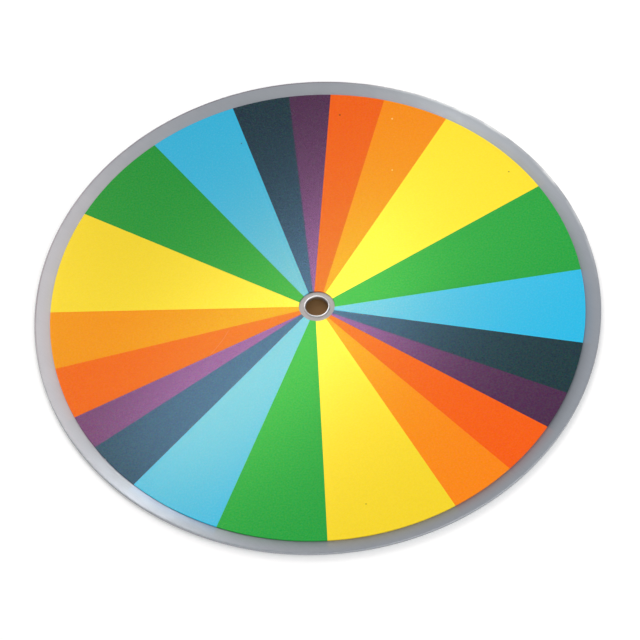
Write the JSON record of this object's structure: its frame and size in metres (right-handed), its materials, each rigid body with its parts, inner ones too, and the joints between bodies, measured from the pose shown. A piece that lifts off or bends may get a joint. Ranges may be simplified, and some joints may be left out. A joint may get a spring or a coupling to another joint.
{
  "type": "newton disc",
  "caption": "Flat aluminium disc faced with wedges in the colours of the spectrum, with a hub eyelet that fits a rotator's shaft; spun fast, the colours blend to near white.",
  "frame": {"origin": "centre of the bore, on the plane that the disc lies on when its coloured face is up", "axes": "+Z along the bore, out of the coloured face; +X to the right of the picture"},
  "size_m": [0.25, 0.25, 0.0023],
  "materials": {
    "plate": "mill-finish sheet, satin, with broken edges",
    "eyelet": "drawn and rolled, bright",
    "green_sheet": "coloured sheet, satin gloss, cut by hand",
    "yellow_sheet": "coloured sheet, satin gloss, cut by hand",
    "orange_sheet": "coloured sheet, satin gloss, cut by hand",
    "red_sheet": "coloured sheet, satin gloss, cut by hand",
    "violet_sheet": "coloured sheet, satin gloss, cut by hand",
    "indigo_sheet": "coloured sheet, satin gloss, cut by hand",
    "blue_sheet": "coloured sheet, satin gloss, cut by hand"
  },
  "bodies": {
    "root": {"plate": "plate", "hub_eyelet": "eyelet", "green_sheet_1": "green_sheet", "yellow_sheet_1": "yellow_sheet", "orange_sheet_1": "orange_sheet", "red_sheet_1": "red_sheet", "violet_sheet_1": "violet_sheet", "indigo_sheet_1": "indigo_sheet", "blue_sheet_1": "blue_sheet", "green_sheet_2": "green_sheet", "yellow_sheet_2": "yellow_sheet", "orange_sheet_2": "orange_sheet", "red_sheet_2": "red_sheet", "violet_sheet_2": "violet_sheet", "indigo_sheet_2": "indigo_sheet", "blue_sheet_2": "blue_sheet", "green_sheet_3": "green_sheet", "yellow_sheet_3": "yellow_sheet", "orange_sheet_3": "orange_sheet", "red_sheet_3": "red_sheet", "violet_sheet_3": "violet_sheet", "indigo_sheet_3": "indigo_sheet", "blue_sheet_3": "blue_sheet"}
  },
  "joints": []
}
